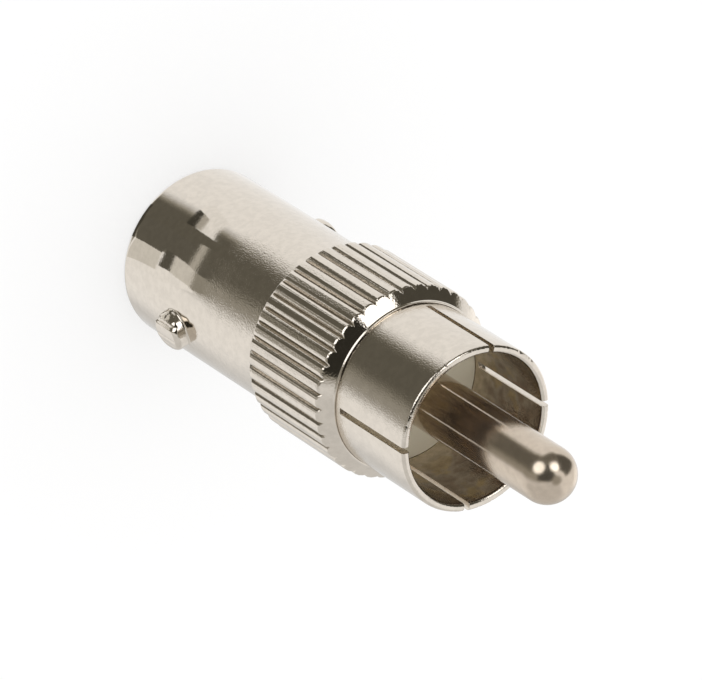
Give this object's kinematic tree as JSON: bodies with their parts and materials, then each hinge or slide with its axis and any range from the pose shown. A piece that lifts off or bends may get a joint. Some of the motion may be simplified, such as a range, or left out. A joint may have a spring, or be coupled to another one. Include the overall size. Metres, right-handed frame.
{
  "type": "bayonet coaxial jack to phono plug adapter",
  "caption": "Straight coaxial adapter: bayonet jack with side lugs, knurled grip, and a slotted-sleeve phono plug with a round centre pin.",
  "frame": {"origin": "centre of the jack's rim, the flat ring the adapter stands on", "axes": "+Z along the adapter's axis from the jack to the plug's pin, the bayonet lugs on the X axis, +Y to the side"},
  "size_m": [0.0112, 0.0108, 0.0336],
  "materials": {
    "nickel_plate": "satin nickel plate over brass",
    "gold_plate": "thin gold plate over brass",
    "white_plastic": "smooth, slightly waxy"
  },
  "bodies": {
    "root": {"body": "nickel_plate", "phono_shell": "nickel_plate", "centre_pin": "nickel_plate", "plug_insulator": "white_plastic", "jack_insulator": "white_plastic", "socket_contact": "gold_plate"}
  },
  "joints": []
}
